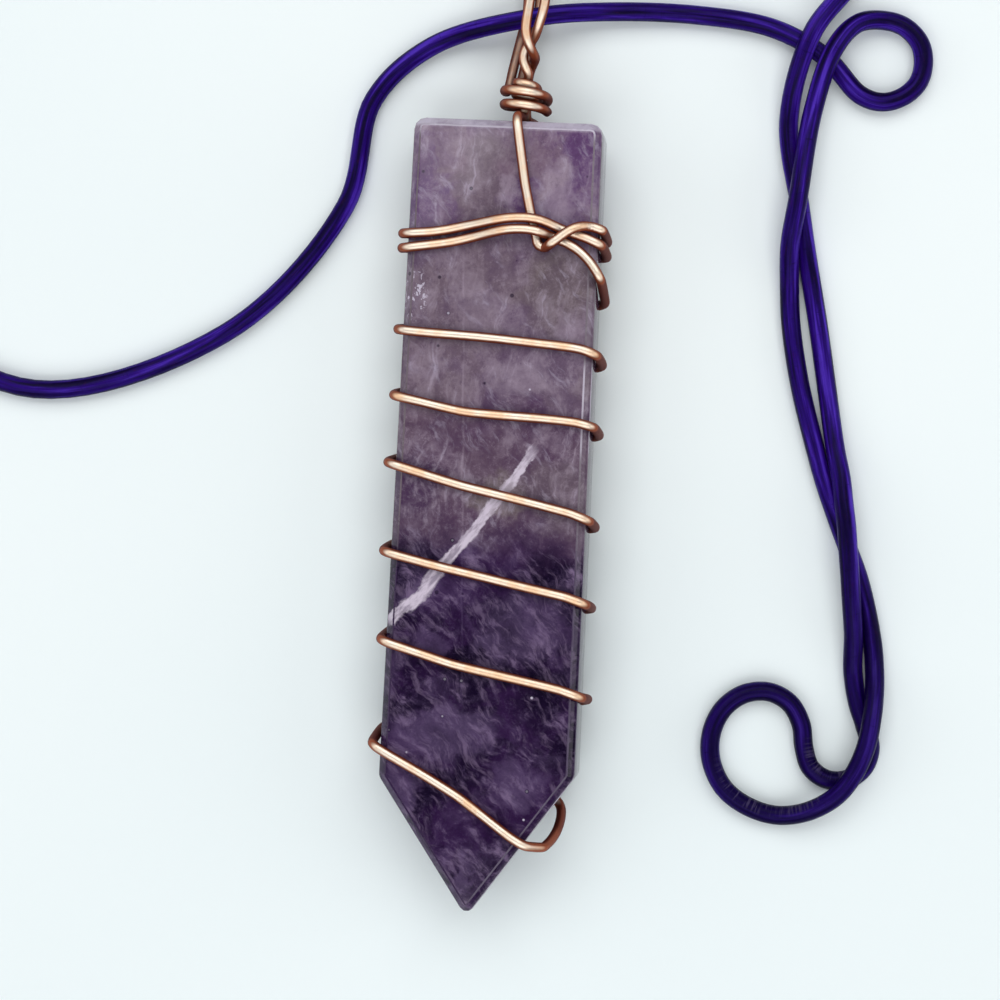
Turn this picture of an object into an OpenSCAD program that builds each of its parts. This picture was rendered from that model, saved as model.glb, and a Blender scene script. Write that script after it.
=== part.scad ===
// A flat crystal point bound in copper wire, with a twisted wire bail, on a leather necklace cord.
// It lies on its back: X to the right, Y towards the bail, Z up from the surface that it lies on.
// All pieces but the cord are drawn in the stone's own frame and laid down by lay_down():
// there Y is 0 at the stone's top edge and Z is 0 at its back face.

/* [Crystal] */
// Length of the stone from its top edge to where the edges of the point meet
stone_l = 60.8; // [52:0.2:70]
// Width of the stone
stone_w = 15; // [13:0.5:18]
// Thickness of the stone
stone_t = 5.5; // [4.5:0.25:7]
// Height of the pointed end
point_h = 11.1; // [9:0.1:13]
// How far the tip lies left of the middle
tip_offset = 0.2; // [0:0.1:0.8]
// How much further down the left shoulder sits than the right one
shoulder_drop = 0.8; // [0:0.1:3]
// How much narrower the stone is at its top than at its shoulders
taper = 0.55; // [0:0.05:0.8]
// Width of the polished bevel round both faces
bevel = 0.55; // [0.4:0.05:0.9]
// Radius of the top corners and shoulders, seen from the front
shoulder_r = 0.9; // [0.4:0.1:1.2]
// Radius of the tip, seen from the front
tip_r = 0.6; // [0.2:0.1:0.8]

/* [Wire] */
// Diameter of the copper wire
wire_d = 0.8; // [0.6:0.05:0.85]
// Clearance between the wire and whatever it is bent round
wire_gap = 0.03; // [0.02:0.01:0.05]
// Distance of the wire band below the stone's top edge
band_drop = 8.2; // [7:0.1:9]
// Distance of the back riser right of the stone's middle
riser_x = 3.5; // [2.5:0.1:4]

/* [Bail] */
// Distance of the neck right of the stone's middle
neck_x = 0.75; // [0:0.05:1.2]
// Height of the neck above the stone, up to where the two strands part
neck_h = 3.4; // [3.4:0.1:4.5]
// Height of the middle of the loop's round end above the stone
loop_h = 12.4; // [12:0.1:15]
// Radius of the loop's round end, to the middle of its strands
loop_r = 3.35; // [3:0.05:3.6]

/* [Cord] */
// Diameter of the leather cord
cord_d = 1.5; // [1.2:0.05:1.5]
// Length of the crimp barrel that closes the cord
joiner_l = 9; // [6:0.5:9]
// Diameter of the crimp barrel
joiner_d = 3; // [2.4:0.1:3]

/* [Hidden] */

stone_colour = [0.36, 0.27, 0.50];
copper_colour = [0.80, 0.50, 0.34];
leather_colour = [0.16, 0.06, 0.42];

body_l = stone_l - point_h;
wire_r = wire_d / 2;
wire_off = wire_r + wire_gap;      // from a surface to the middle of the wire on it
wire_lift = wire_d + wire_gap;     // between two wires that lie on each other
front_z = stone_t + wire_off;      // middle of a wire on the stone's front
back_z = -wire_off;                // middle of a wire on the stone's back
side_x = stone_w / 2 + wire_off;   // middle of a wire on the stone's side
corner_r = wire_off + bevel;       // bend of a wire round the stone's edge
hump = 1.1 * wire_lift;            // rise of a back wire where it passes over the riser
neck_z = stone_t / 2;
core_off = 0.52 * wire_d;          // the two wires inside the neck, from its middle
core_y = 0.51 * neck_h;            // the cage ends and the bail begins here, inside the coils
wire_sides = 8;
bend_step = 30;                    // degrees of bend from one ring of a wire to the next

// Spiral turns down the stone, as shares of its straight length: heights at the left edge, left of the
// middle, by the right bevel and at the right edge, then the spring of the left bend in wire diameters
TURN_LEFT = 0; TURN_MIDDLE = 1; TURN_BEVEL = 2; TURN_RIGHT = 3; TURN_SPRING = 4;
turns = [
    [0.329, 0.334, 0.343, 0.354, 0.03],
    [0.430, 0.450, 0.4565, 0.4635, 0.08],
    [0.533, 0.563, 0.595, 0.607, 0.28],
    [0.669, 0.694, 0.723, 0.734, 0.23],
    [0.805, 0.836, 0.865, 0.876, 0.03]];
turn_x = [-0.3, 0.8];              // where the middle two heights stand, as shares of the half width
last_turn = [0.966, 0.28];         // height at the left edge, spring of its bend
side_fall = 0.5;                   // fall of a wire along the stone's side

// Wires of the band: share of the stone's half width, drop below the band's line in wire diameters,
// and height above the stone in wires lying under it
riser = [[0.05, -5.0, 0], [0.18, -4.2, 0], [0.265, -1.0, 0], [0.32, 0.7, 0]];
hook = [[0.345, 1.6, 0], [0.415, 1.85, 0.1], [0.48, 1.52, 0.95], [0.55, 1.02, 1], [0.62, 0.47, 1], [0.70, 0.0, 1],
    [0.77, -0.25, 0.7], [0.84, -0.33, 0.25], [0.92, -0.25, 0]];
upper_band = [[-0.76, 0.8, 0], [-0.58, 0.5, 0], [-0.41, 0.12, 0.1], [-0.24, -0.22, 0.4], [-0.06, -0.57, 0.8],
    [0.11, -0.78, 1], [0.28, -0.80, 1], [0.40, -0.60, 0.7], [0.53, -0.15, 0.2], [0.65, 0.25, 0], [0.83, 0.74, 0]];
lower_band = [[-0.75, 2.0, 0], [-0.57, 1.72, 0], [-0.40, 1.32, 0], [-0.23, 0.9, 0.3], [-0.06, 0.52, 0.8],
    [0.11, 0.30, 1], [0.27, 0.30, 1], [0.37, 0.47, 0.9], [0.46, 0.72, 0.15], [0.54, 1.0, 0], [0.68, 1.5, 0],
    [0.82, 2.4, 0], [0.92, 3.4, 0]];
band_steps = 2;                    // rings from one row of these tables to the next
BAND_LEFT = [1.0, 2.4];            // drops at the left edge: upper wire, lower wire
BAND_RIGHT = [0.0, 1.4, 4.6];      // drops at the right edge: crossing wire, upper wire, lower wire
band_side = [0.4, 0.4, 1.7];       // falls of those three along the right side, in wire diameters

// Last turn over the point: share of the half width, share of the point's height
point_run = [[-0.57, 0.02], [-0.15, 0.17]];
// Loop off the point's right edge: share along the edge, distance out from it in wire diameters,
// and share of the way from the stone's front to its back
tip_loop = [[0.475, -1.6, 0], [0.466, 0.2, 0], [0.42, 1.75, 0.2], [0.355, 1.95, 0.5], [0.27, 1.4, 0.8],
    [0.22, wire_off / wire_d, 1], [0.20, -1.6, 1]];

// Middle line of the twisted pair, from the neck up the front and down the back:
// X in wire diameters and Z from the middle of the neck, Y above the stone, twist of the pair in full turns,
// half distance between the strands in wire diameters
pair_front = [
    [0, core_y + wire_gap, 0, -0.25, 0.52],
    [0, 0.84 * neck_h, 0, -0.25, 0.52],
    [0, 0.97 * neck_h, 0, -0.25, 0.51],
    [0.27, neck_h + 0.88 * wire_d, 0.15 * loop_r, -0.235, 0.57],
    [0.24, neck_h + 2.0 * wire_d, 0.40 * loop_r, 0, 0.58],
    [0.42, neck_h + 3.1 * wire_d, 0.62 * loop_r, 0.25, 0.55],
    [0.50, 0.56 * loop_h, 0.80 * loop_r, 0.43, 0.60],
    [1.02, 0.74 * loop_h, 0.95 * loop_r, 0.5, 0.72]];
pair_back = [
    [-0.25, 0.74 * loop_h, -0.95 * loop_r, 1, 0.56],
    [-0.69, 0.57 * loop_h, -0.78 * loop_r, 1, 0.54],
    [-1.12, neck_h + 1.62 * wire_d, -0.50 * loop_r, 1, 0.54]];
arch_steps = 6;                    // points round the loop's end
pair_steps = 3;                    // rings between two points of the pair

// Coils of the two wire ends round the neck: radius of their round sides to the middle of the wire,
// height where it starts, fall each turn, first and last angle seen from above
COIL_R = 0; COIL_TOP = 1; COIL_FALL = 2; COIL_FIRST = 3; COIL_LAST = 4;
coil_step = 30;                    // degrees from one ring of a coil to the next
inner_coil = [wire_lift / cos(coil_step / 2), neck_h - 0.12 * wire_d, 1.03 * wire_lift, 225, -495];
outer_coil = [(inner_coil[COIL_R] + wire_lift) / cos(coil_step / 2), neck_h - 0.94 * wire_d, 1.25 * wire_lift, 205, -365];

// Route of the cord's middle line, a necklace loop from barrel to barrel, lying on the surface:
// X from the frame's middle, Y from the stone's top edge, Z above the surface
cord_route = [
    [-9.5, 65.6, 1.5], [4, 65, 0.75], [26.2, 52.4, 0.75], [32.2, 31, 0.75], [26.2, 14, 0.75],
    [22.59, 8.42, 2.35], [21.3, 1.8, 0.75], [22.54, -4.79, 0.75], [23.19, -8.11, 0.75],
    [24.44, -13.91, 0.75], [25.53, -19.56, 0.75], [26.27, -23.59, 1.35], [26.77, -25.75, 1.9],
    [27.03, -27.44, 2.15], [27.36, -29.52, 2.35], [27.57, -31.21, 2.35], [27.83, -33.21, 2.3],
    [28.12, -35.53, 2.05], [28.44, -37.87, 1.5], [28.63, -40.78, 0.75], [29.11, -43.1, 0.75],
    [29.79, -44.93, 0.75], [30.28, -46.62, 0.75], [29.87, -48.16, 0.75], [28.64, -49.17, 0.75],
    [27.06, -49.26, 0.75], [25.73, -48.4, 0.75], [25.16, -46.92, 0.75], [24.82, -45.06, 0.75],
    [23.84, -43.48, 0.75], [22.2, -42.71, 0.75], [20.27, -42.98, 0.75], [18.7, -44.25, 0.75],
    [17.9, -46.17, 0.75], [17.98, -48.28, 0.75], [19.03, -50.33, 0.75], [20.82, -51.63, 0.75],
    [23.19, -52.27, 0.8], [25.51, -51.8, 1.6], [27.62, -50.43, 2.3], [28.94, -48.64, 2.35],
    [29.79, -46.42, 2.35], [30.13, -44.16, 2.3], [30.3, -42.04, 1.45], [30.21, -39.76, 0.75],
    [29.76, -37.28, 0.75], [28.71, -33.6, 0.75], [27.72, -31.23, 0.75], [26.78, -29.02, 0.75],
    [25.7, -26.34, 0.75], [24.54, -22.89, 0.75], [23.25, -18.51, 0.75], [22.34, -14.02, 0.75],
    [22.04, -10.92, 0.9], [21.85, -7.9, 1.8], [22.2, -4.55, 2.5], [23.09, 2.7, 1.6], [24.39, 7.4, 2.45],
    [26.2, 9.6, 1.6], [28.39, 10.05, 0.8], [29.95, 9.6, 0.75], [31.14, 8.4, 0.75], [31.5, 6.85, 0.75],
    [31.14, 5.3, 0.75], [29.95, 4.15, 0.75], [28.39, 3.7, 0.75], [26.7, 4.2, 0.75], [23.89, 6.97, 0.75],
    [19.8, 9, 0.75], [13.89, 9.77, 0.75], [6.79, 9.6, 1.3], [1, 8.65, 2.5], [-6.8, 6.35, 0.9],
    [-11.21, 1.95, 0.75], [-13, -6.55, 0.75], [-22, -17.05, 0.75], [-38, -22.05, 0.75],
    [-51.4, -12.05, 0.75], [-51.6, 17.95, 0.75], [-43.6, 47.9, 0.75], [-29, 64.6, 0.75], [-18.5, 65.6, 1.5]];
cord_sides = 8;
cord_steps = 2;                    // rings from one point of the route to the next
joiner_gap = 0.15;                 // between the cord's ends and the barrel

function unit(v) = v / norm(v);
function last(list) = list[len(list) - 1];
function lerp(a, b, share) = a + (b - a) * share;

// A round bend at corner v, between the points a and b, in 2D or 3D
function bend(a, v, b, r) =
    let (u = unit(a - v), w = unit(b - v), turn = 180 - acos(max(-1, min(1, u * w))))
    turn < 3 ? [v] :
    let (want = r * tan(turn / 2), t = min(want, 0.48 * norm(a - v), 0.48 * norm(b - v)),
         rr = t / tan(turn / 2), c = v + unit(u + w) * sqrt(rr * rr + t * t),
         d0 = (v + u * t - c) / rr, d1 = (v + w * t - c) / rr, n = max(1, ceil(turn / bend_step)))
    [for (k = [0:n]) c + rr * (sin((1 - k / n) * turn) * d0 + sin(k / n * turn) * d1) / sin(turn)];

// A wire's path through its corners: tight round the stone's edges, easy everywhere else
function sharpness(a, v, b) = 180 - acos(max(-1, min(1, unit(a - v) * unit(b - v))));
function wire_path(p) = concat([p[0]],
    [for (i = [1:len(p) - 2])
        each bend(p[i - 1], p[i], p[i + 1], sharpness(p[i - 1], p[i], p[i + 1]) < 35 ? 4 * corner_r : corner_r)],
    [last(p)]);

// A smooth curve through points, with the points spaced as they lie
function spline_point(p, u) =
    let (a = max(1e-6, sqrt(norm(p[1] - p[0]))), b = max(1e-6, sqrt(norm(p[2] - p[1]))),
         c = max(1e-6, sqrt(norm(p[3] - p[2]))),
         m1 = (p[2] - p[1] + b * ((p[1] - p[0]) / a - (p[2] - p[0]) / (a + b))),
         m2 = (p[2] - p[1] + b * ((p[3] - p[2]) / c - (p[3] - p[1]) / (b + c))))
    (2 * u ^ 3 - 3 * u ^ 2 + 1) * p[1] + (u ^ 3 - 2 * u ^ 2 + u) * m1
    + (3 * u ^ 2 - 2 * u ^ 3) * p[2] + (u ^ 3 - u ^ 2) * m2;
function spline(p, steps) =
    let (n = len(p), q = concat([2 * p[0] - p[1]], p, [2 * p[n - 1] - p[n - 2]]))
    concat([for (i = [0:n - 2], k = [0:steps - 1])
        spline_point([q[i], q[i + 1], q[i + 2], q[i + 3]], k / steps)], [p[n - 1]]);

// Rings of a round wire or cord along a path, as one closed shell
function tangents(p) =
    [for (i = [0:len(p) - 1])
        let (back = i > 0 ? unit(p[i] - p[i - 1]) : unit(p[1] - p[0]),
             on = i < len(p) - 1 ? unit(p[i + 1] - p[i]) : back)
        unit(back + on)];
function square_to(n, t) = unit(n - (n * t) * t);
function ring_normals(t, start) =
    [for (i = 0, n = square_to(start, t[0]); i < len(t); i = i + 1, n = i < len(t) ? square_to(n, t[i]) : n) n];
module tube(path, r, sides, start = [0, 0, 1]) {
    t = tangents(path);
    n = ring_normals(t, abs(t[0] * start) > 0.9 ? [1, 0, 0] : start);
    count = len(path);
    polyhedron(
        points = [for (i = [0:count - 1], k = [0:sides - 1])
            let (a = 360 * k / sides) path[i] + r * (cos(a) * n[i] + sin(a) * cross(t[i], n[i]))],
        faces = concat([[for (k = [0:sides - 1]) k]],
            [for (i = [0:count - 2], k = [0:sides - 1])
                let (a = i * sides + k, b = i * sides + (k + 1) % sides) [b, a, a + sides, b + sides]],
            [[for (k = [sides - 1:-1:0]) (count - 1) * sides + k]]));
}

// The stone's outline, clockwise from its top left corner, moved in by d all round
outline = [[-stone_w / 2, 0], [stone_w / 2 - taper, 0], [stone_w / 2, -body_l], [-tip_offset, -stone_l],
    [-stone_w / 2, -body_l - shoulder_drop]];
outline_r = [shoulder_r, shoulder_r, shoulder_r, tip_r, shoulder_r];
function inward(a, b) = let (e = unit(b - a)) [e.y, -e.x];
function moved_in(d) =
    [for (i = [0:4])
        let (m = inward(outline[(i + 4) % 5], outline[i]), n = inward(outline[i], outline[(i + 1) % 5]))
        outline[i] + d * (m + n) / (1 + m * n)];
least_r = 0.1;
corner_steps = 3;
function round_corner(a, v, b, r) =
    let (u = unit(a - v), w = unit(b - v), half = acos(u * w) / 2, turn = 180 - 2 * half,
         c = v + unit(u + w) * r / sin(half), d0 = (v + u * r / tan(half) - c) / r,
         d1 = (v + w * r / tan(half) - c) / r)
    [for (k = [0:corner_steps])
        c + r * (sin((1 - k / corner_steps) * turn) * d0 + sin(k / corner_steps * turn) * d1) / sin(turn)];
function stone_ring(d, z) =
    let (p = moved_in(d))
    [for (i = [0:4])
        each [for (q = round_corner(p[(i + 4) % 5], p[i], p[(i + 1) % 5], max(least_r, outline_r[i] - d)))
            [q.x, q.y, z]]];

// The cage's corners, in the order in which the wire runs
function band_point(row) = [row[0] * stone_w / 2, -band_drop - row[1] * wire_d, front_z + row[2] * wire_lift];
function band(rows, more = []) = spline([for (row = concat(rows, more)) band_point(row)], band_steps);
function drop(d) = -band_drop - d * wire_d;
function down(share) = -share * body_l;
function right_x(y) = side_x - taper * (1 + y / body_l);
function right_side(front_y, back_y) = [[right_x(front_y), front_y, front_z], [right_x(back_y), back_y, back_z]];
function over_riser(right_y, left_y) =
    [[riser_x, lerp(right_y, left_y, (side_x - riser_x) / (2 * side_x)), back_z - hump]];
function left_side(back_y, front_y, spring) =
    [[-side_x - spring * wire_d, back_y, back_z], [-side_x - spring * wire_d, front_y, front_z]];
function round_back(right_y, left_y, front_y, spring) =
    concat(over_riser(right_y, left_y), left_side(left_y, front_y, spring));
function edge_point(along, out, through) =
    let (s = outline[2], t = outline[3], n = -inward(s, t), p = lerp(s, t, along) + out * wire_d * n)
    [p.x, p.y, lerp(front_z, back_z, through)];
function turn_fall(y) = y - side_fall;

band_back = [for (i = [0:2]) drop(BAND_RIGHT[i] + band_side[i])];
cage_corners = concat(
    [[neck_x, core_y - wire_gap, neck_z + core_off], [neck_x - wire_d / 8, wire_off, neck_z + core_off]],
    [[riser[0][0] * stone_w / 2, wire_off, front_z]],
    band([for (i = [1:len(riser) - 1]) riser[i]], hook),
    right_side(drop(BAND_RIGHT[0]), band_back[0]),
    round_back(band_back[0], drop(BAND_LEFT[0] - 0.7), drop(BAND_LEFT[0]), turns[0][TURN_SPRING]),
    band(upper_band),
    right_side(drop(BAND_RIGHT[1]), band_back[1]),
    round_back(band_back[1], drop(BAND_LEFT[1] - 0.7), drop(BAND_LEFT[1]), turns[0][TURN_SPRING]),
    band(lower_band),
    right_side(drop(BAND_RIGHT[2]), band_back[2]),
    [for (i = [0:len(turns) - 1])
        let (from = i == 0 ? band_back[2] : turn_fall(down(turns[i - 1][TURN_RIGHT])),
             left = down(turns[i][TURN_LEFT]), right = down(turns[i][TURN_RIGHT]))
        each concat(round_back(from, left + side_fall, left, turns[i][TURN_SPRING]),
            [for (k = [0, 1]) [turn_x[k] * stone_w / 2, down(turns[i][TURN_MIDDLE + k]), front_z]],
            right_side(right, turn_fall(right)))],
    round_back(turn_fall(down(last(turns)[TURN_RIGHT])), down(last_turn[0]) + 2 * side_fall, down(last_turn[0]),
        last_turn[1]),
    [for (row = point_run) [row[0] * stone_w / 2, -body_l - row[1] * point_h, front_z]],
    [for (row = tip_loop) edge_point(row[0], row[1], row[2])],
    [[riser_x, -body_l + wire_d, back_z], [riser_x, -band_drop + 2 * wire_d, back_z],
     [2 * neck_x, wire_off, back_z], [neck_x, wire_off, neck_z - core_off],
     [neck_x, core_y - wire_gap, neck_z - core_off]]);

// The two strands of the bail, and their ends wound round the neck
pair_arch = [for (k = [0:arch_steps])
    let (a = 180 * k / arch_steps)
    [lerp(last(pair_front)[0], pair_back[0][0], k / arch_steps), loop_h + loop_r * sin(a), loop_r * cos(a),
     0.5 + 0.5 * k / arch_steps, 0.62]];
pair = spline(concat(pair_front, pair_arch, pair_back), pair_steps);
pair_middle = [for (p = pair) [neck_x + p[0] * wire_d, p[1], neck_z + p[2]]];
pair_along = tangents(pair_middle);
function strand(side) =
    [for (i = [0:len(pair) - 1])
        let (out = unit(cross([1, 0, 0], pair_along[i])), across = cross(pair_along[i], out),
             a = 360 * pair[i][3] + side, h = pair[i][4] * wire_d)
        pair_middle[i] + h * (cos(a) * across + sin(a) * out)];
function coil(c) =
    let (n = round((c[COIL_FIRST] - c[COIL_LAST]) / coil_step))
    [for (k = [0:n])
        let (a = lerp(c[COIL_FIRST], c[COIL_LAST], k / n), beside = max(-1, min(1, 3 * sin(a))))
        [neck_x + c[COIL_R] * cos(a), c[COIL_TOP] - c[COIL_FALL] * (c[COIL_FIRST] - a) / 360,
         neck_z + c[COIL_R] * sin(a) + core_off * beside]];

// How the pendant lies: on the back stretches of its turns, from the back riser to the left edge
lie_angle = atan(hump / (riser_x + side_x + turns[2][TURN_SPRING] * wire_d));
lie_lift = wire_r + (wire_off + hump) * cos(lie_angle) - riser_x * sin(lie_angle);
lie_x = (turns[2][TURN_SPRING] * wire_d * cos(lie_angle) + stone_t * sin(lie_angle)) / 2;
lie_y = (stone_l - tip_r - (loop_h + loop_r + wire_d)) / 2;
module lay_down() {
    translate([lie_x, lie_y, lie_lift]) rotate([0, -lie_angle, 0]) children();
}

module crystal_point() {
    layers = [[bevel, 0], [0, bevel], [0, stone_t - bevel], [bevel, stone_t]];
    rings = [for (layer = layers) stone_ring(layer[0], layer[1])];
    n = len(rings[0]);
    color(stone_colour) lay_down()
        polyhedron(points = [for (ring = rings) each ring],
            faces = concat([[for (k = [0:n - 1]) n - 1 - k]],
                [for (i = [0:2], k = [0:n - 1]) [i * n + k, i * n + (k + 1) % n, (i + 1) * n + (k + 1) % n,
                    (i + 1) * n + k]],
                [[for (k = [0:n - 1]) 3 * n + k]]));
}

module cage_wire() {
    color(copper_colour) lay_down() tube(wire_path(cage_corners), wire_r, wire_sides);
}

function strand_path(side, c) =
    let (s = strand(side), w = coil(c))
    concat(s, bend(last(s), w[0], w[1], wire_d), [for (i = [1:len(w) - 1]) w[i]]);
module bail_strand(side, end_coil) {
    color(copper_colour) lay_down() tube(strand_path(side, end_coil), wire_r, wire_sides);
}

module bail_strand_a() { bail_strand(0, inner_coil); }
module bail_strand_b() { bail_strand(180, outer_coil); }

function cord_path(steps) = [for (p = spline(cord_route, steps)) [p.x, p.y + lie_y, max(p.z, cord_d / 2)]];
module cord() {
    color(leather_colour) tube(cord_path(cord_steps), cord_d / 2, cord_sides);
}

module cord_joiner() {
    color(copper_colour)
        translate(last(cord_route) + [joiner_gap, lie_y, 0]) rotate([0, 90, 0])
            cylinder(h = joiner_l - 2 * joiner_gap, d = joiner_d, $fn = 48);
}

crystal_point();
cage_wire();
bail_strand_a();
bail_strand_b();
cord();
cord_joiner();
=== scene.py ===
# Copper-wrapped crystal point on a leather necklace cord, laid down on a pale table.
# X goes to the right, Y towards the bail and Z up. Lengths are in metres.
import math
import bpy
from mathutils import Matrix, Vector, noise


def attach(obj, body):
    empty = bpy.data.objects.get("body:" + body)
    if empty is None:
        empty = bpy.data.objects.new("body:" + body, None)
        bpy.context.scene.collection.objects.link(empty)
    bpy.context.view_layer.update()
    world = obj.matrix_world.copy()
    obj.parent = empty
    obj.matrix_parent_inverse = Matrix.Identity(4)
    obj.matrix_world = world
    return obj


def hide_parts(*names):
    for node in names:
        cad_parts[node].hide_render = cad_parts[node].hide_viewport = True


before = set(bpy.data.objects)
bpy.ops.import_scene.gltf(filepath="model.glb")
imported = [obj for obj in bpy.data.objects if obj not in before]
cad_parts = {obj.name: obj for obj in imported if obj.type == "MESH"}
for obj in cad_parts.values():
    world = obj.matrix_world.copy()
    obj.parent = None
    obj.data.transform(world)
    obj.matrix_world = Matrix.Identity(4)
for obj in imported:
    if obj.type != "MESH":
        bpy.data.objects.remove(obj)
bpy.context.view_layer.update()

mm = 0.001
mergeWithin = 0.000002

# How the pendant lies: its own frame has Y = 0 at the stone's top edge and Z = 0 at the stone's back
lie = {"x": 0.326, "y": 21.825, "lift": 1.466, "lean": 4.480}


def pickOnly(piece):
    bpy.ops.object.select_all(action='DESELECT')
    piece.select_set(True)
    bpy.context.view_layer.objects.active = piece


def finishWith(piece, kind, **settings):
    modifier = piece.modifiers.new(kind.title(), kind)
    for name, value in settings.items():
        setattr(modifier, name, value)
    pickOnly(piece)
    bpy.ops.object.modifier_apply(modifier=modifier.name)


def copyOfNode(node, name):
    # a merged copy of a frame node, to be worked on as a piece of its own
    piece = bpy.data.objects.new(name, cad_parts[node].data.copy())
    bpy.context.scene.collection.objects.link(piece)
    piece.data.materials.clear()
    pickOnly(piece)
    bpy.ops.object.mode_set(mode='EDIT')
    bpy.ops.mesh.select_all(action='SELECT')
    bpy.ops.mesh.remove_doubles(threshold=mergeWithin)
    bpy.ops.object.mode_set(mode='OBJECT')
    return piece


# Camera: it looks down on the front, from a little to the right
# (target, distance, width of the view, film and nearest thing seen in mm, angles in degrees)
camera = {"target": (0.615, -7.08, 6.9), "distance": 200, "tilt": 2.0, "roll": 3.15, "view": 76, "film": 36,
          "nearest": 5}


def placeCamera():
    tilt, roll = math.radians(camera["tilt"]), math.radians(camera["roll"])
    outward = Vector((math.sin(tilt), 0, math.cos(tilt)))
    up = Vector((-math.sin(roll), math.cos(roll), 0))
    right = up.cross(outward).normalized()
    up = outward.cross(right)
    bpy.ops.object.camera_add()
    eye = bpy.context.object
    eye.name = "photoCamera"
    eye.data.lens = camera["film"] * camera["distance"] / camera["view"]
    eye.data.sensor_width = camera["film"]
    eye.data.clip_start = camera["nearest"] * mm
    eye.data.dof.use_dof = False
    place = (Vector(camera["target"]) + outward * camera["distance"]) * mm
    eye.matrix_world = Matrix.Translation(place) @ Matrix((right, up, outward)).transposed().to_4x4()
    bpy.context.scene.camera = eye


placeCamera()
print("camera placed")


# Shader maths: a Field is one output socket, and expressions on Fields add Math nodes
class Field:
    def __init__(self, paint, socket):
        self.paint, self.socket = paint, socket

    def math(self, operation, *values):
        return self.paint.node('Math', {'operation': operation}, dict(enumerate(values)))

    def __add__(self, other): return self.math('ADD', self, other)
    def __radd__(self, other): return self.math('ADD', other, self)
    def __sub__(self, other): return self.math('SUBTRACT', self, other)
    def __rsub__(self, other): return self.math('SUBTRACT', other, self)
    def __mul__(self, other): return self.math('MULTIPLY', self, other)
    def __rmul__(self, other): return self.math('MULTIPLY', other, self)
    def __truediv__(self, other): return self.math('DIVIDE', self, other)
    def __pow__(self, other): return self.math('POWER', self, other)
    def __abs__(self): return self.math('ABSOLUTE', self)

    def step(self, low, high, start=0.0, end=1.0):
        # start up to low, end from high on, and a soft change between them
        return self.paint.node('MapRange', {'interpolation_type': 'SMOOTHSTEP'}, {
            'Value': self, 'From Min': low, 'From Max': high, 'To Min': start, 'To Max': end})

    def band(self, low, high, soft):
        # 1 between low and high, 0 outside
        return self.step(low - soft, low + soft) * self.step(high - soft, high + soft, 1.0, 0.0)

    def plus(self, other):
        return self.paint.node('VectorMath', {'operation': 'ADD'}, {0: self, 1: other})

    def times(self, other):
        return self.paint.node('VectorMath', {'operation': 'MULTIPLY'}, {0: self, 1: other})


class Paint:
    def __init__(self, name):
        self.material = bpy.data.materials.new(name)
        self.material.use_nodes = True
        self.tree = self.material.node_tree
        self.shader = self.tree.nodes['Principled BSDF']

    def fill(self, node, values):
        for name, value in values.items():
            socket = node.inputs[name]
            if isinstance(value, Field):
                self.tree.links.new(value.socket, socket)
            elif socket.type == 'RGBA':
                socket.default_value = (*value[:3], 1)
            else:
                socket.default_value = value

    def node(self, kind, settings, values, output=0):
        made = self.tree.nodes.new('ShaderNode' + kind)
        for name, value in settings.items():
            setattr(made, name, value)
        self.fill(made, values)
        return Field(self, made.outputs[output])

    def mix(self, share, first, second):
        return self.node('Mix', {'data_type': 'RGBA'}, {0: share, 6: first, 7: second}, 2)

    def noise(self, at, scale, detail=3.0, rough=0.5, twist=0.0, output=0):
        return self.node('TexNoise', {}, {
            'Vector': at, 'Scale': scale, 'Detail': detail, 'Roughness': rough, 'Distortion': twist}, output)

    def drift(self, at, scale, detail, rough, reach):
        # the place moved about by a noise, up to half of reach each way
        moved = self.noise(at, scale, detail, rough, 0.0, 1).plus((-0.5, -0.5, -0.5))
        return at.plus(moved.times((reach, reach, reach)))

    def split(self, vector):
        made = self.node('SeparateXYZ', {}, {0: vector})
        return [Field(self, socket) for socket in made.socket.node.outputs]

    def join(self, x, y, z):
        return self.node('CombineXYZ', {}, {0: x, 1: y, 2: z})

    def bump(self, height, distance, strength=1.0, under=None):
        # a relief this many metres high, on top of the one under it
        values = {'Strength': strength, 'Distance': distance, 'Height': height}
        if under:
            values['Normal'] = under
        return self.node('Bump', {}, values)

    def attribute(self, name):
        return self.node('Attribute', {'attribute_name': name}, {}, 2)

    def place(self, name='Object'):
        made = self.tree.nodes.new('ShaderNodeTexCoord')
        return Field(self, made.outputs[name])

    def placeInMm(self):
        return self.place().times((1000, 1000, 1000))


def tone(red, green, blue):
    # a screen colour, 0 to 255, as the shader wants it
    levels = [level / 255 for level in (red, green, blue)]
    return tuple(level / 12.92 if level < 0.0404 else ((level + 0.055) / 1.055) ** 2.4 for level in levels)


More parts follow.
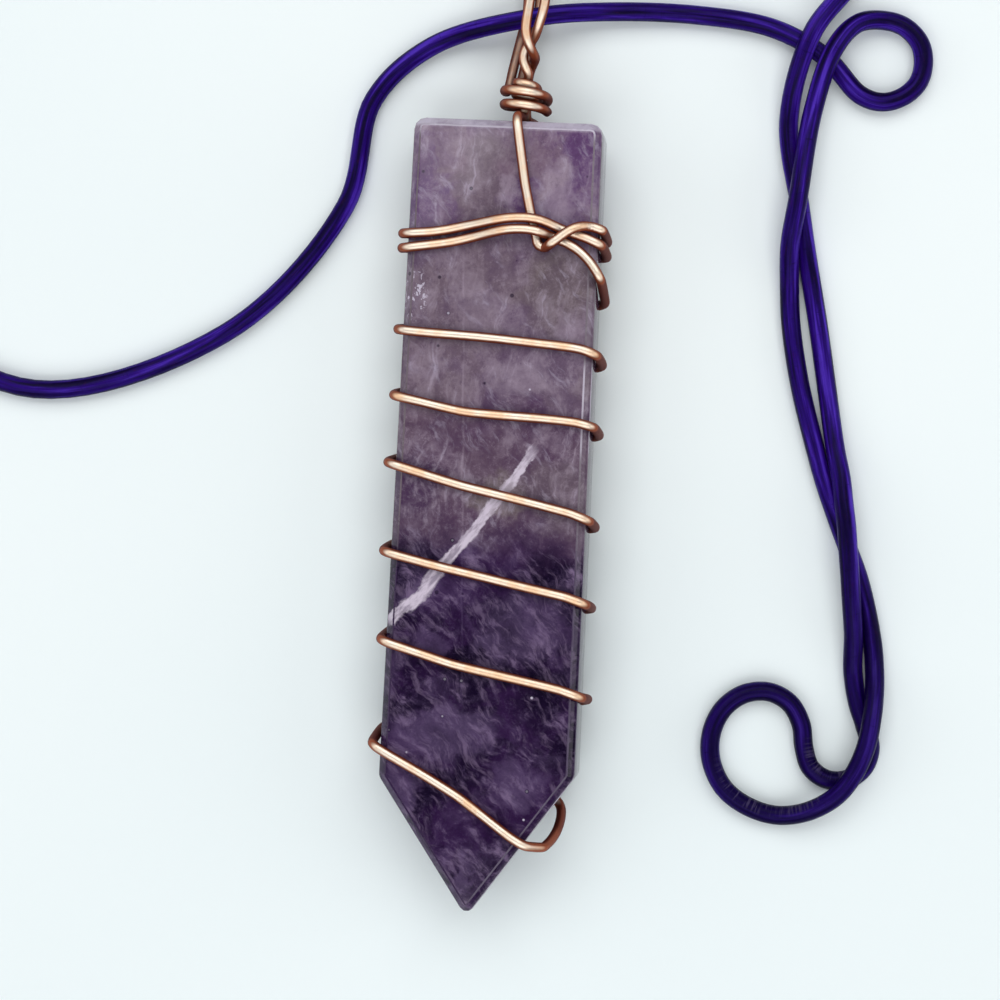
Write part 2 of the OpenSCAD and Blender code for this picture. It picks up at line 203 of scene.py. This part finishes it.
# Leather cord: a smooth curve through these points, in mm, with X from the middle, Y from the stone's top
# edge and Z up from the table
cord = {
    "diameter": 1.5,
    "length": 449.6,
    "steps": 12,  # points from one point of the route to the next
    "roundness": 4,
    "route": [
        (-9.5, 65.6, 1.5), (4, 65, 0.75), (26.2, 52.4, 0.75), (32.2, 31, 0.75), (26.2, 14, 0.75),
        (22.59, 8.42, 2.35), (21.3, 1.8, 0.75), (22.54, -4.79, 0.75), (23.19, -8.11, 0.75),
        (24.44, -13.91, 0.75), (25.53, -19.56, 0.75), (26.27, -23.59, 1.35), (26.77, -25.75, 1.9),
        (27.03, -27.44, 2.15), (27.36, -29.52, 2.35), (27.57, -31.21, 2.35), (27.83, -33.21, 2.3),
        (28.12, -35.53, 2.05), (28.44, -37.87, 1.5), (28.63, -40.78, 0.75), (29.11, -43.1, 0.75),
        (29.79, -44.93, 0.75), (30.28, -46.62, 0.75), (29.87, -48.16, 0.75), (28.64, -49.17, 0.75),
        (27.06, -49.26, 0.75), (25.73, -48.4, 0.75), (25.16, -46.92, 0.75), (24.82, -45.06, 0.75),
        (23.84, -43.48, 0.75), (22.2, -42.71, 0.75), (20.27, -42.98, 0.75), (18.7, -44.25, 0.75),
        (17.9, -46.17, 0.75), (17.98, -48.28, 0.75), (19.03, -50.33, 0.75), (20.82, -51.63, 0.75),
        (23.19, -52.27, 0.8), (25.51, -51.8, 1.6), (27.62, -50.43, 2.3), (28.94, -48.64, 2.35),
        (29.79, -46.42, 2.35), (30.13, -44.16, 2.3), (30.3, -42.04, 1.45), (30.21, -39.76, 0.75),
        (29.76, -37.28, 0.75), (28.71, -33.6, 0.75), (27.72, -31.23, 0.75), (26.78, -29.02, 0.75),
        (25.7, -26.34, 0.75), (24.54, -22.89, 0.75), (23.25, -18.51, 0.75), (22.34, -14.02, 0.75),
        (22.04, -10.92, 0.9), (21.85, -7.9, 1.8), (22.2, -4.55, 2.5), (23.09, 2.7, 1.6), (24.39, 7.4, 2.45),
        (26.2, 9.6, 1.6), (28.39, 10.05, 0.8), (29.95, 9.6, 0.75), (31.14, 8.4, 0.75), (31.5, 6.85, 0.75),
        (31.14, 5.3, 0.75), (29.95, 4.15, 0.75), (28.39, 3.7, 0.75), (26.7, 4.2, 0.75), (23.89, 6.97, 0.75),
        (19.8, 9, 0.75), (13.89, 9.77, 0.75), (6.79, 9.6, 1.3), (1, 8.65, 2.5), (-6.8, 6.35, 0.9),
        (-11.21, 1.95, 0.75), (-13, -6.55, 0.75), (-22, -17.05, 0.75), (-38, -22.05, 0.75),
        (-51.4, -12.05, 0.75), (-51.6, 17.95, 0.75), (-43.6, 47.9, 0.75), (-29, 64.6, 0.75),
        (-18.5, 65.6, 1.5)],
    # the bright tone is a painted highlight along gloss streaks, and the dark tone also serves as painted
    # shade
    "skin": tone(42, 10, 120), "dark": tone(10, 0, 46), "bright": tone(84, 52, 190), "red": tone(54, 4, 62),
    # the pleat tone is a painted highlight on the pleats inside tight curls
    "pleat": tone(66, 56, 92),
    # patterns of the leather: how many to the mm along the cord and round it
    "grain": (1.6, 3.2, 3.2), "crease": (4.5, 0.8, 0.8), "streak": (0.10, 1.9, 1.9),
    "pleats": (6.0, 0.5, 0.5),
    # painted shade: the cord gets darker over this span of Y, towards the bottom
    "darkens": (-2.0, -20.0),  # Y from where to where it gets darker
    # painted shade darkens the inside of these curls, and their pleats get a painted highlight
    # curls that pleat the leather on their inside, in mm: middle, radius, from where to where along the cord
    "curls": [((22.9, -25.7), 4.9, (166, 179)), ((27.6, -24.8), 2.7, (143, 152))],
    "roughness": (0.3, 0.46), "shine": 0.05, "coat": 0.03, "coatRoughness": 0.2,
}


def curvePoint(p, u):
    # the place u of the way from p[1] to p[2]
    a, b, c = [max(1e-6, math.sqrt((p[i + 1] - p[i]).length)) for i in range(3)]
    start = p[2] - p[1] + b * ((p[1] - p[0]) / a - (p[2] - p[0]) / (a + b))
    end = p[2] - p[1] + b * ((p[3] - p[2]) / c - (p[3] - p[1]) / (b + c))
    return (2 * u ** 3 - 3 * u ** 2 + 1) * p[1] + (u ** 3 - 2 * u ** 2 + u) * start \
        + (3 * u ** 2 - 2 * u ** 3) * p[2] + (u ** 3 - u ** 2) * end


def cordLine():
    steps, radius = cord["steps"], cord["diameter"] / 2
    p = [Vector(point) for point in cord["route"]]
    p = [2 * p[0] - p[1]] + p + [2 * p[-1] - p[-2]]
    line = [curvePoint(p[i:i + 4], k / steps) for i in range(len(p) - 3) for k in range(steps)]
    line.append(p[-2])
    return [Vector((v.x, v.y + lie["y"], max(v.z, radius))) * mm for v in line]


def evenGrain(piece, line):
    # the map's U follows the length of the cord, not the count of its points
    reach = [0.0]
    for before, after in zip(line, line[1:]):
        reach.append(reach[-1] + (after - before).length)
    for corner in piece.data.uv_layers.active.data:
        place = corner.uv[0] * (len(line) - 1)
        at = min(int(place), len(line) - 2)
        corner.uv[0] = (reach[at] + (place - at) * (reach[at + 1] - reach[at])) / reach[-1]


def leatherPaint():
    # its patterns run along the cord and round its skin, and so follow every bend
    paint = Paint("leather")
    along, around, _ = paint.split(paint.place('UV'))
    along, turn, radius = along * cord["length"], around * (2 * math.pi), cord["diameter"] / 2
    ring = paint.join(along, turn.math('COSINE', turn) * radius, turn.math('SINE', turn) * radius)
    grain = paint.noise(ring.times(cord["grain"]), 1.0, 6.0, 0.62)
    crease = paint.noise(ring.times(cord["crease"]), 1.0, 4.0, 0.6, 0.4)
    streak = paint.noise(ring.times(cord["streak"]), 1.0, 4.0, 0.55)
    colour = paint.mix(streak.step(0.36, 0.62), cord["dark"], cord["skin"])
    # painted highlight: pale streaks along the cord stand in for its gloss
    colour = paint.mix(streak.step(0.53, 0.7) * 0.7, colour, cord["bright"])
    colour = paint.mix(grain.step(0.55, 0.75) * 0.35, colour, cord["red"])
    # painted shade darkens the creases
    colour = paint.mix(crease.step(0.62, 0.74) * 0.6, colour, cord["dark"])
    x, y, _ = paint.split(paint.placeInMm())
    # painted shade towards the lower end of the cord
    colour = paint.mix(y.step(*cord["darkens"]) * 0.6, colour, cord["dark"])
    pleats = paint.noise(ring.times(cord["pleats"]), 1.0, 2.0, 0.5, 0.2)
    inside = 0.0
    for middle, bend, (start, end) in cord["curls"]:
        reach = ((x - middle[0]) ** 2 + (y - middle[1]) ** 2) ** 0.5
        inside = reach.step(bend + 0.1, bend - 0.6) * along.band(start, end, 1.5) + inside
    # painted shade inside the tight curls, and a painted highlight on their pleats
    colour = paint.mix(inside * 0.7, colour, cord["dark"])
    colour = paint.mix(inside * pleats.step(0.48, 0.66) * 0.8, colour, cord["pleat"])
    normal = paint.bump(streak, 0.00010, 0.5)
    normal = paint.bump(crease, 0.00012, 0.4, normal)
    normal = paint.bump(pleats * inside, 0.0002, 0.8, normal)
    normal = paint.bump(grain, 0.00005, 0.5, normal)
    paint.fill(paint.shader, {
        "Base Color": colour, "Roughness": grain.step(0.25, 0.75, *cord["roughness"]), "Normal": normal,
        "Specular IOR Level": cord["shine"], "Coat Weight": cord["coat"],
        "Coat Roughness": cord["coatRoughness"]})
    return paint.material


def makeCord():
    line = cordLine()
    curve = bpy.data.curves.new("leatherCord", 'CURVE')
    curve.dimensions = '3D'
    curve.twist_mode = 'MINIMUM'
    curve.bevel_depth = cord["diameter"] / 2 * mm
    curve.bevel_resolution = cord["roundness"]
    curve.use_fill_caps = True
    spline = curve.splines.new('POLY')
    spline.points.add(len(line) - 1)
    for point, place in zip(spline.points, line):
        point.co = (*place, 1)
    piece = bpy.data.objects.new("leatherCord", curve)
    bpy.context.scene.collection.objects.link(piece)
    pickOnly(piece)
    bpy.ops.object.convert(target='MESH')
    piece = bpy.context.object
    bpy.ops.object.shade_smooth()
    evenGrain(piece, line)
    piece.data.materials.append(leatherPaint())
    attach(piece, "root")
    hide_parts("cord")
    return piece, line


cordPiece, cordPath = makeCord()
print("cord made")


# Copper: drawn wire, with a painted highlight where it faces up and painted shade down its sides, underneath
# and towards the table
copperLook = {
    # the bright and warm tones cover the top, made pale as a painted highlight; brown and the darkest tone
    # are painted shade
    "bright": tone(255, 238, 218), "warm": tone(252, 208, 168), "brown": tone(160, 82, 52),
    "underShade": tone(104, 38, 26), "metallic": 0.7, "roughness": (0.36, 0.44), "dull": 0.3,
    # where painted shade turns the sides brown and the underside darker
    "sides": (0.92, 0.64), "under": (0.6, 0.2),  # from which share of facing up to which
    # painted shade darkens the copper towards the table
    "low": (6.6, 4.6),  # Z in mm from where to where it gets darker towards the table
}


def copperPaint():
    paint = Paint("copper")
    at = paint.placeInMm()
    patches = paint.noise(at, 0.45, 4.0, 0.6)
    height = paint.split(at)[2]
    upward = paint.attribute("upward") + (patches - 0.5) * 0.25
    colour = paint.mix(patches.step(0.38, 0.68), copperLook["bright"], copperLook["warm"])
    # painted highlight on the top, painted shade down the sides and underneath
    colour = paint.mix(upward.step(*copperLook["sides"]), colour, copperLook["brown"])
    colour = paint.mix(upward.step(*copperLook["under"]), colour, copperLook["underShade"])
    # painted shade towards the table
    low = (height + patches * 2.0).step(*copperLook["low"])
    colour = paint.mix(low * 0.7, colour, copperLook["underShade"])
    dull = upward.step(0.55, 0.15, 0.0, copperLook["dull"])
    rough = patches.step(0.3, 0.7, *copperLook["roughness"]) + dull
    paint.fill(paint.shader, {"Base Color": colour, "Metallic": copperLook["metallic"], "Roughness": rough})
    return paint.material


def markUpward(piece):
    # how far each point of the surface faces up
    upward = piece.data.attributes.new("upward", 'FLOAT', 'POINT')
    for vertex, value in zip(piece.data.vertices, upward.data):
        value.value = max(0.0, vertex.normal.z)


copper = copperPaint()


# Wires: each is a rounded copy of its solid, with the slight waves of wire bent by hand
wire = {
    "swell": 0.016, "wave": 0.07, "waveLength": 5.0, "waveStart": (3.1, 7.7, 1.3), "flat": math.radians(60),
    "pieces": (
        ("cage_wire", "cageWire"), ("bail_strand_a", "bailStrandBack"), ("bail_strand_b", "bailStrandFront")),
}


def makeWire(node, name):
    piece = copyOfNode(node, name)
    bpy.ops.object.mode_set(mode='EDIT')
    bpy.ops.mesh.select_all(action='SELECT')
    bpy.ops.mesh.tris_convert_to_quads(face_threshold=wire["flat"], shape_threshold=wire["flat"])
    bpy.ops.transform.shrink_fatten(value=wire["swell"] * mm)
    bpy.ops.object.mode_set(mode='OBJECT')
    finishWith(piece, 'SUBSURF', levels=2, render_levels=2)
    for vertex in piece.data.vertices:
        at = vertex.co / (wire["waveLength"] * mm)
        vertex.co.y += wire["wave"] * mm * noise.noise(at + Vector(wire["waveStart"]))
    pickOnly(piece)
    bpy.ops.object.shade_smooth()
    markUpward(piece)
    piece.data.materials.append(copper)
    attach(piece, "root")
    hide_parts(node)


for node, name in wire["pieces"]:
    makeWire(node, name)
print("wires made")


# Stone: the solid with softened edges; its colours run from pale lavender down to deep violet
stone = {
    "edge": 0.08, "edgeSteps": 3, "edgeAngle": math.radians(30), "softAngle": math.radians(25),
    "flatAngle": math.radians(1),
    "grey": tone(120, 99, 116), "purple": tone(95, 66, 107), "ash": tone(101, 88, 97),
    "mauve": tone(82, 62, 80), "dusk": tone(64, 42, 72), "green": tone(106, 96, 90),
    "pale": tone(160, 144, 160), "violet": tone(44, 19, 60), "deep": tone(15, 1, 31),
    # the palest tone here is painted highlight and glint, and partly wear on the edges
    "cloud": tone(90, 72, 106), "vein": tone(202, 190, 206), "sheenAndWear": tone(206, 198, 216),
    "wisp": tone(172, 162, 182), "lowWisp": tone(134, 113, 145),
    # faces that look up less than this are sides, which shine less and are darkened with painted shade
    "sideFacing": 0.3, "shine": 0.3, "sideShine": 0.08, "sideShade": 0.7,
    # patches: tone, middle and half sizes on the front in mm, strength
    "patches": [
        ("ash", (-1.8, -4.7), (2.4, 6.0), 0.6), ("purple", (-6.8, -6.0), (2.0, 5.0), 0.8),
        ("purple", (6.0, -2.4), (2.2, 3.4), 0.7), ("pale", (4.0, -5.6), (2.0, 3.2), 0.55),
        ("pale", (0.2, -5.2), (0.8, 1.8), 0.5), ("green", (4.4, -12.6), (3.6, 4.5), 0.5),
        ("pale", (-1.7, -14.6), (2.6, 2.6), 0.3), ("pale", (1.6, -19.6), (3.0, 1.8), 0.35),
        ("pale", (5.6, -16.1), (1.3, 1.8), 0.4), ("dusk", (-6.2, -28.3), (3.2, 3.4), 0.8),
        ("green", (0.6, -28.8), (3.0, 1.9), 0.7), ("ash", (5.0, -28.6), (3.2, 3.4), 0.6),
        ("deep", (-5.8, -34.4), (2.6, 2.8), 0.8), ("dusk", (2.8, -32.4), (4.4, 2.2), 0.5),
        ("cloud", (3.6, -38.0), (3.8, 3.6), 0.4), ("cloud", (-3.9, -39.9), (1.5, 1.6), 0.5),
        ("deep", (-0.8, -43.4), (2.4, 1.2), 0.7), ("deep", (4.2, -45.0), (2.4, 2.0), 0.65),
        ("deep", (-4.4, -44.4), (2.2, 1.2), 0.5), ("cloud", (0.6, -40.2), (2.0, 1.2), 0.4),
        ("cloud", (-2.6, -47.0), (5.0, 2.4), 0.6),
        ("cloud", (3.4, -50.2), (2.6, 1.8), 0.5), ("cloud", (-5.8, -51.4), (1.6, 2.6), 0.5),
        ("cloud", (-0.6, -57.4), (0.9, 2.2), 0.6)],
    "flakes": ((-6.7, -13.6), (1.3, 2.4)),
    # zones down the stone, by Y in mm: from where to where it turns dark, and two bands above that
    "turns": (-29.8, -34.0), "ashBand": (-22.0, -9.0), "mauveBand": (-32.0, -22.0),
    "seam": {"x": -2.9, "y": -13.8, "slope": -0.05, "band": (-45.0, -11.0)},
    "veinStart": (3.1, -24.9), "veinEnd": (-7.4, -38.6), "veinWidth": 0.42, "veinSag": 0.5, "veinSwing": 0.5,
    "cells": 0.75,  # how many cells to the mm, each with room for one glint or pit
    "refraction": 1.54, "edgeShine": 0.4,
    # where the edges carry painted highlight and wear, and where they are dark, by Y in mm
    "bands": {"top": (-1.6, -0.6), "turn": (-25.0, -18.5), "point": (-49.0, -50.5), "dark": (-29.0, -35.0)},
}


def stoneSpace(paint):
    # the stone's own frame, in mm
    return paint.node('Mapping', {'vector_type': 'TEXTURE'}, {
        'Vector': paint.place(), 'Location': (lie["x"] * mm, lie["y"] * mm, lie["lift"] * mm),
        'Rotation': (0, -math.radians(lie["lean"]), 0), 'Scale': (mm, mm, mm)})


def turned(paint, at, degrees, stretch):
    # the place turned on the face of the stone, and then stretched
    angle = math.radians(degrees)
    spun = paint.node('VectorRotate', {'rotation_type': 'Z_AXIS'}, {'Vector': at, 'Angle': angle})
    return spun.times(stretch)


def spot(x, y, middle, spread):
    # 1 in the middle of a patch, down to 0 at its rim
    return (((x - middle[0]) / spread[0]) ** 2 + ((y - middle[1]) / spread[1]) ** 2).step(0.15, 1.0, 1.0, 0.0)


def stoneZones(paint, bent, low):
    # broad zones down the stone, low being the dark one, then its patches
    x, y, _ = paint.split(bent)
    broad = paint.noise(bent, 0.16, 4.0, 0.6)
    upper = paint.mix(broad.step(0.42, 0.62), stone["grey"], stone["purple"])
    upper = paint.mix(y.band(*stone["ashBand"], 1.5) * 0.6, upper, stone["ash"])
    upper = paint.mix(y.band(*stone["mauveBand"], 1.5) * 0.85, upper, stone["mauve"])
    base = paint.mix(low, upper, paint.mix(broad.step(0.4, 0.6), stone["violet"], stone["deep"]))
    for kind, middle, spread, strength in stone["patches"]:
        base = paint.mix(spot(x, y, middle, spread) * strength, base, stone[kind])
    return base, broad


def stonePaint(name, shine, shade):
    # shade is how much painted shade, in the dusky tone, covers the rest
    paint = Paint(name)
    at = stoneSpace(paint)
    bent = paint.drift(at, 0.35, 5.0, 0.62, 5.0)
    flow = paint.drift(at, 0.3, 3.0, 0.5, 2.4)
    x, y, _ = paint.split(at)
    low = paint.split(bent)[1].step(*stone["turns"])
    base, broad = stoneZones(paint, bent, low)
    # clouds, streaks down the stone above and down to the right below, and a fine mottle
    light = paint.mix(low, stone["pale"], stone["cloud"])
    dark = paint.mix(low, stone["dusk"], stone["deep"])
    haze = paint.noise(flow.times((1.0, 0.8, 1.0)), 0.5, 8.0, 0.66, 0.25)
    base = paint.mix(haze.step(0.42, 0.74) * (0.45 - low * 0.05), base, light)
    base = paint.mix(haze.step(0.54, 0.24) * 0.35, base, dark)
    upright = paint.noise(turned(paint, flow, 97, (0.12, 1.5, 0.6)), 1.0, 7.0, 0.68)
    slanted = paint.noise(turned(paint, flow, 40, (0.45, 1.2, 0.6)), 1.0, 6.0, 0.66, 0.15)
    fibre = upright * (1.0 - low) + slanted * low
    base = paint.mix(fibre.step(0.47, 0.72) * haze.step(0.34, 0.6) * (low * 0.1 + 0.35), base, light)
    base = paint.mix(fibre.step(0.5, 0.3) * (low * 0.1 + 0.2), base, dark)
    wisp = paint.mix(low, stone["wisp"], stone["lowWisp"])
    base = paint.mix((fibre + low * 0.04).step(0.53, 0.76) * haze.step(0.42, 0.6) * 0.6, base, wisp)
    feather = paint.noise(turned(paint, flow, 52, (0.4, 1.8, 0.8)), 1.0, 5.0, 0.64, 0.2)
    base = paint.mix((feather + low * 0.03).step(0.53, 0.72) * broad.step(0.4, 0.54) * 0.4, base, wisp)
    mottle = paint.noise(at, 1.9, 9.0, 0.78)
    base = paint.mix(mottle.step(0.5, 0.68) * 0.3, base, light)
    base = paint.mix(mottle.step(0.48, 0.34) * 0.3, base, dark)
    # pale flakes on the upper left, their sparkle a painted glint, and a painted highlight along the rim of
    # the top
    flake = paint.noise(at.times((1.0, 0.7, 1.0)), 2.6, 3.0, 0.6, 1.0)
    flakes = spot(x, y, *stone["flakes"]) * flake.step(0.57, 0.62)
    base = paint.mix(flakes * 0.75, base, stone["sheenAndWear"])
    base = paint.mix(y.step(-0.8, -0.4) * haze.step(0.25, 0.6, 0.25, 0.7), base, stone["sheenAndWear"])
    base = stoneSeam(paint, x, y, haze, base, light)
    base = stoneVein(paint, at, haze, base, light)
    base = stoneSpecks(paint, at, base)
    # painted shade, used on the sides
    base = paint.mix(shade, base, stone["dusk"])
    paint.fill(paint.shader, {
        "Base Color": base, "Roughness": haze.step(0.3, 0.7, 0.04, 0.08), "IOR": stone["refraction"],
        "Specular IOR Level": shine, "Normal": paint.bump(mottle, 0.00002, 0.12)})
    return paint.material


def stoneSeam(paint, x, y, haze, base, light):
    # a faint seam down the left
    line = stone["seam"]
    away = abs(x - line["x"] - (y - line["y"]) * line["slope"] + (haze - 0.5) * 0.6)
    seam = away.step(0.02, 0.13, 1.0, 0.0) * y.band(*line["band"], 2.0)
    return paint.mix(seam * haze.step(0.3, 0.6) * 0.35, base, light)


def stoneVein(paint, at, haze, base, light):
    # the white vein across the middle, from veinStart to veinEnd
    x, y, _ = paint.split(at)
    start, end = Vector(stone["veinStart"]), Vector(stone["veinEnd"])
    run, reach = (end - start).normalized(), (end - start).length
    along = ((x - start.x) * run.x + (y - start.y) * run.y) / reach
    sag = along * (1.0 - along) * (4 * stone["veinSag"]) + along.band(0.76, 0.88, 0.1) * stone["veinSwing"]
    wander = (paint.noise(at, 0.45, 2.0, 0.5) - 0.5) * 0.5 + (paint.noise(at, 3.0, 5.0, 0.7) - 0.5) * 0.4
    across = abs((x - start.x) * run.y - (y - start.y) * run.x + sag + wander)
    width = paint.noise(at, 0.7, 3.0).step(0.3, 0.7, 0.7, 1.25) * (along * 0.35 + 0.8) * stone["veinWidth"]
    streak = paint.noise(turned(paint, at, -52, (0.8, 2.6, 1.0)), 1.0, 5.0, 0.6).step(0.36, 0.6, 0.45, 1.0)
    spread = across / width
    halo = spread.step(0.8, 2.6, 1.0, 0.0) * along.band(-0.3, 1.0, 0.1)
    core = spread.step(0.8, 1.3, 1.0, 0.0) * along.band(0.0, 1.0, 0.03)
    base = paint.mix(halo * haze.step(0.3, 0.7) * 0.4, base, light)
    return paint.mix(core * streak, base, stone["vein"])


def stoneSpecks(paint, at, base):
    # glints and dark pits
    cell = paint.node('TexVoronoi', {}, {'Vector': at, 'Scale': stone["cells"]})
    chance = paint.split(Field(paint, cell.socket.node.outputs['Color']))
    glint = cell.step(0.05, 0.10, 1.0, 0.0) * chance[0].step(0.82, 0.86)
    pit = cell.step(0.09, 0.15, 1.0, 0.0) * chance[1].step(0.8, 0.84)
    base = paint.mix(glint * 0.8, base, stone["sheenAndWear"])
    return paint.mix(pit * 0.7, base, stone["deep"])


def sheenAndWearEdgePaint():
    # the edges between the polished faces carry painted highlight, partly real wear: plainest on the top, by
    # the third turn on the right and on the outer edge of the point's right
    paint = Paint("amethystEdge")
    at = stoneSpace(paint)
    x, y, z = paint.split(at)
    bands = stone["bands"]
    sheenAndWear = paint.noise(at, 0.6, 5.0, 0.6)
    # painted highlight, partly wear: on the top edge, by the third turn on the right and on the point's right
    # edge
    point = y.step(*bands["point"]) * z.step(5.3, 5.1)
    right = x.step(-1.0, 1.0) * (y.band(*bands["turn"], 1.0) * 0.6 + point * 0.7 + 0.1)
    edgeSheenAndWear = y.step(*bands["top"]) * 0.7 + right
    plain = paint.mix(y.step(*bands["dark"]), stone["ash"], stone["violet"])
    colour = paint.mix(edgeSheenAndWear * sheenAndWear.step(0.25, 0.6, 0.6, 1.0), plain, stone["sheenAndWear"])
    paint.fill(paint.shader, {
        "Base Color": colour, "Roughness": sheenAndWear.step(0.3, 0.7, 0.15, 0.35), "IOR": stone["refraction"],
        "Specular IOR Level": stone["edgeShine"]})
    return paint.material


def makeStone():
    piece = copyOfNode("crystal_point", "amethystPoint")
    bpy.ops.object.mode_set(mode='EDIT')
    bpy.ops.mesh.select_all(action='SELECT')
    bpy.ops.mesh.dissolve_limited(angle_limit=stone["flatAngle"])
    bpy.ops.object.mode_set(mode='OBJECT')
    piece.data.materials.append(stonePaint("amethyst", stone["shine"], 0.0))
    piece.data.materials.append(sheenAndWearEdgePaint())
    # the sides get a copy of the paint darkened with painted shade
    piece.data.materials.append(stonePaint("amethystSide", stone["sideShine"], stone["sideShade"]))
    for face in piece.data.polygons:
        face.material_index = 2 if abs(face.normal.z) < stone["sideFacing"] else 0
    finishWith(piece, 'BEVEL', width=stone["edge"] * mm, segments=stone["edgeSteps"], limit_method='ANGLE',
               angle_limit=stone["edgeAngle"], material=1)
    pickOnly(piece)
    bpy.ops.object.shade_smooth_by_angle(angle=stone["softAngle"])
    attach(piece, "root")
    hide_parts("crystal_point")


makeStone()
print("stone made")

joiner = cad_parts["cord_joiner"]
joiner.data.materials.clear()
joiner.data.materials.append(copper)
markUpward(joiner)

cord["length"] * mm
cord["diameter"] * mm


# Table and light
studio = {
    "table": tone(240, 247, 247), "tableShade": tone(234, 243, 244), "tableSize": 1.6, "tableRoughness": 0.6,
    "sky": (0.85, 0.92, 1.0), "skyStrength": 0.13,
    # panels: place and size in metres, glow, and whether polished faces mirror them
    "panels": {
        "topPanel": ((0.0, 0.51, 0.75), (1.1, 0.66), 2.0, True),
        "lowPanel": ((0.0, -0.56, 0.71), (1.1, 0.66), 1.7, True),
        "leftPanel": ((-0.72, 0.0, 0.42), (0.7, 0.5), 1.2, True),
        "rightPanel": ((0.72, 0.0, 0.32), (0.7, 0.5), 1.2, True),
        "fillPanel": ((0.0, 0.0, 1.2), (1.5, 1.5), 0.42, False)},
}


def makeStudio():
    bpy.ops.mesh.primitive_plane_add(size=studio["tableSize"])
    table = bpy.context.object
    table.name = "table"
    paint = Paint("tableTop")
    soft = paint.noise(paint.place().times((9, 9, 9)), 1.0, 2.0)
    colour = paint.mix(soft.step(0.3, 0.7), studio["table"], studio["tableShade"])
    paint.fill(paint.shader, {"Base Color": colour, "Roughness": studio["tableRoughness"]})
    table.data.materials.append(paint.material)
    world = bpy.context.scene.world or bpy.data.worlds.new("sky")
    bpy.context.scene.world = world
    world.use_nodes = True
    sky = world.node_tree.nodes["Background"]
    sky.inputs["Color"].default_value = (*studio["sky"], 1)
    sky.inputs["Strength"].default_value = studio["skyStrength"]
    for name, (place, size, glow, mirrored) in studio["panels"].items():
        place = Vector(place)
        bpy.ops.object.light_add(type='AREA', location=place)
        panel = bpy.context.object
        panel.name = name
        panel.data.shape = 'RECTANGLE'
        panel.data.size, panel.data.size_y = size
        panel.data.energy = glow * math.pi * size[0] * size[1]
        panel.rotation_euler = place.to_track_quat('Z', 'Y').to_euler()
        panel.visible_glossy = mirrored
    bpy.context.scene.view_settings.view_transform = 'Standard'


makeStudio()
print("table and light made")
